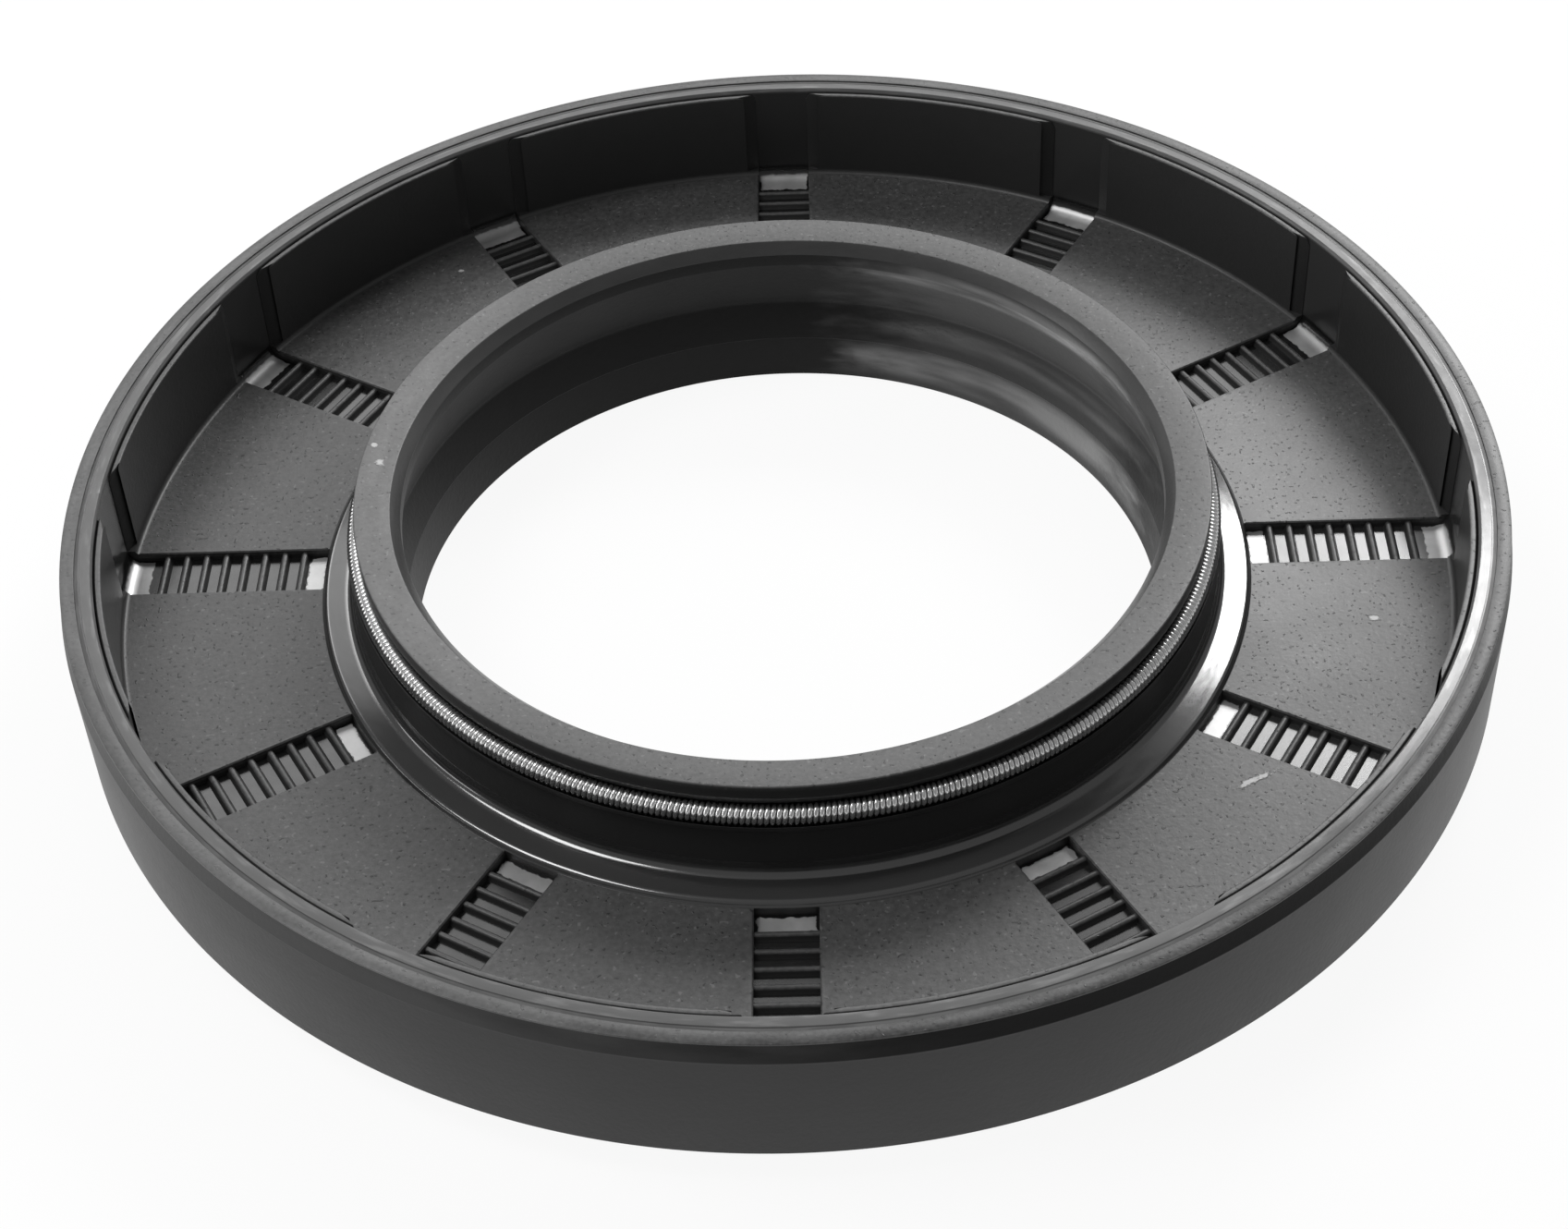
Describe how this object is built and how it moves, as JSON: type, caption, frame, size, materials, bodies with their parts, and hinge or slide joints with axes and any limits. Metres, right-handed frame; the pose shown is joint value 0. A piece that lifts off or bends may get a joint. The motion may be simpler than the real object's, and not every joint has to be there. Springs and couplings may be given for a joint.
{
  "type": "radial shaft seal",
  "caption": "Rubber-covered steel ring whose spring-loaded inner lip seals a rotating shaft; a second lip on the back keeps dust out.",
  "frame": {"origin": "centre of the back face (air side), on the seal's axis", "axes": "+Z along the axis, from the back face towards the rim and the spring (oil side)"},
  "size_m": [0.1, 0.1, 0.013],
  "materials": {
    "rubber": "satin moulded nitrile rubber, glossy on the ledge and the lips",
    "case_steel": "bare pressed steel sheet, smooth in the pockets, cut edge at the rim",
    "spring_steel": "bright drawn wire"
  },
  "bodies": {
    "root": {"metal_case": "case_steel", "rubber_body": "rubber", "garter_spring": "spring_steel"}
  },
  "joints": []
}
